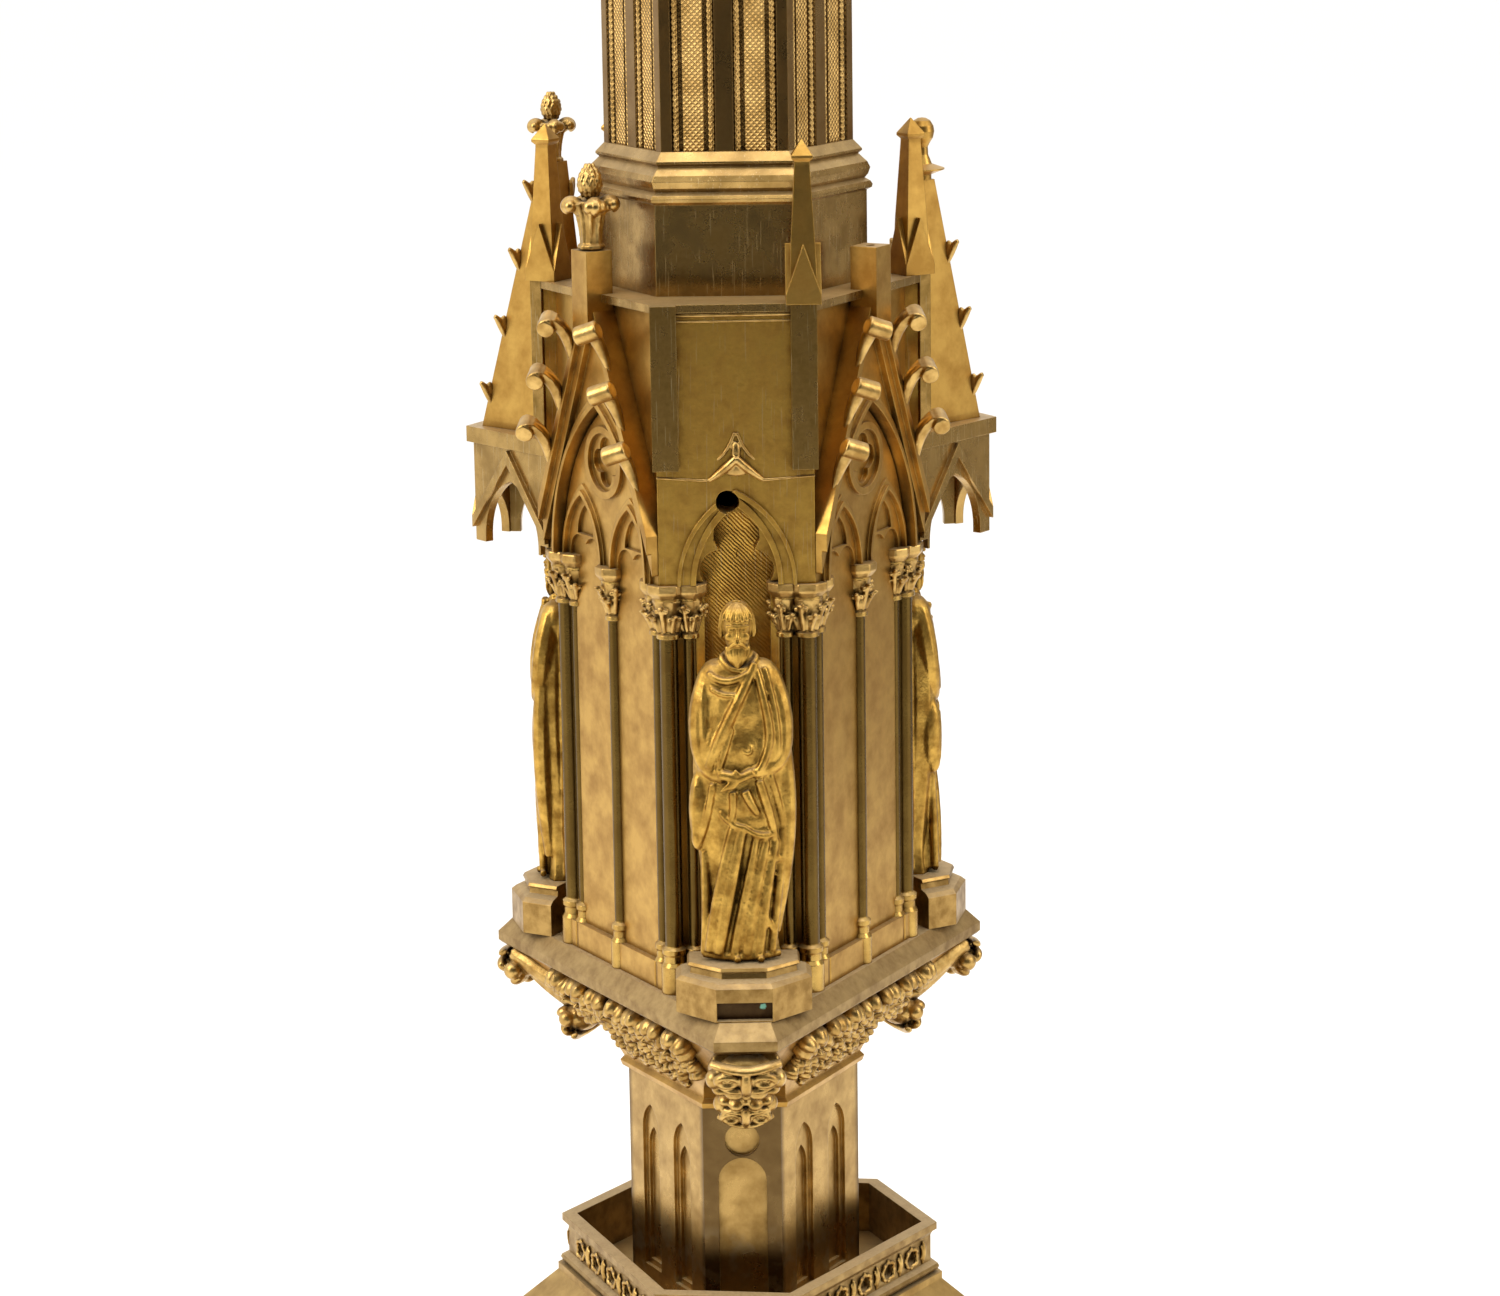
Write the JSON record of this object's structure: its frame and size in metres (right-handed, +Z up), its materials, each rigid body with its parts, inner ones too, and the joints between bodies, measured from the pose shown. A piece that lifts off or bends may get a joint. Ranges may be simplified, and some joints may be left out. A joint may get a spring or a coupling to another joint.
{
  "type": "candelabrum",
  "caption": "Gothic Revival gilt candelabrum with a chapel-shaped knop, statues under canopies, a gallery and lift-off drip pans.",
  "frame": {"origin": "on the floor, on the axis of the tie rod", "axes": "+Z up; -Y is the side with the bare statue niche, whose canopy is missing"},
  "size_m": [0.2932, 0.2711, 0.9934],
  "materials": {
    "gilt_relief": "gilt cast relief, worn bright on the high parts",
    "gilt_polished": "gilt, flat and polished, dark reflections",
    "gilt_satin": "gilt satin with dust on upward faces",
    "steel": "plain turned steel"
  },
  "bodies": {
    "stand": {"arm_front": "gilt_satin", "arm_left": "gilt_satin", "arm_right": "gilt_satin", "base_body": "gilt_polished", "base_plinth": "gilt_satin", "base_slope": "gilt_satin", "branch_boss": "gilt_satin", "buttress_strips": "gilt_polished", "centre_stem": "gilt_satin", "colonnettes_front": "gilt_relief", "colonnettes_left": "gilt_relief", "colonnettes_right": "gilt_relief", "corbel": "gilt_relief", "corner_shelf_front": "gilt_satin", "corner_shelf_left": "gilt_satin", "corner_shelf_right": "gilt_satin", "drum": "gilt_polished", "feet": "gilt_satin", "gable_finial_left": "gilt_relief", "gable_finial_rear": "gilt_relief", "gable_rear": "gilt_relief", "gable_wide_left": "gilt_relief", "gable_wide_right": "gilt_relief", "gallery": "gilt_relief", "hood_left": "gilt_relief", "hood_right": "gilt_relief", "hood_screws": "steel", "ledge_rims": "gilt_satin", "lower_pillar": "gilt_polished", "mullions": "gilt_relief", "niche_plate_front": "gilt_polished", "niche_plate_left": "gilt_polished", "niche_plate_right": "gilt_polished", "nozzle_centre": "gilt_satin", "nozzle_front": "gilt_satin", "nozzle_left": "gilt_satin", "nozzle_right": "gilt_satin", "nut_and_washer": "steel", "pedestal_front": "gilt_satin", "pedestal_left": "gilt_satin", "pedestal_right": "gilt_satin", "pinnacles": "gilt_relief", "shaft": "gilt_satin", "shaft_capital": "gilt_satin", "spire_finial_left": "gilt_relief", "spire_finial_right": "gilt_relief", "spire_left": "gilt_relief", "spire_right": "gilt_relief", "statue_front": "gilt_relief", "statue_left": "gilt_relief", "statue_right": "gilt_relief", "tie_rod": "steel", "top_plate": "gilt_satin", "tracery_panel_rear": "gilt_satin", "tracery_panel_wide_left": "gilt_satin", "tracery_panel_wide_right": "gilt_satin"},
    "pan_front": {"drip_pan_front": "gilt_satin"},
    "pan_right": {"drip_pan_right": "gilt_satin"},
    "pan_left": {"drip_pan_left": "gilt_satin"},
    "pan_centre": {"drip_pan_centre": "gilt_satin"}
  },
  "joints": [
    {"name": "pan_front_lift", "type": "slide", "parent": "stand", "child": "pan_front", "axis": [0, 0, 1], "range_m": [0, 0.06]},
    {"name": "pan_right_lift", "type": "slide", "parent": "stand", "child": "pan_right", "axis": [0, 0, 1], "range_m": [0, 0.06]},
    {"name": "pan_left_lift", "type": "slide", "parent": "stand", "child": "pan_left", "axis": [0, 0, 1], "range_m": [0, 0.06]},
    {"name": "pan_centre_lift", "type": "slide", "parent": "stand", "child": "pan_centre", "axis": [0, 0, 1], "range_m": [0, 0.06]}
  ]
}
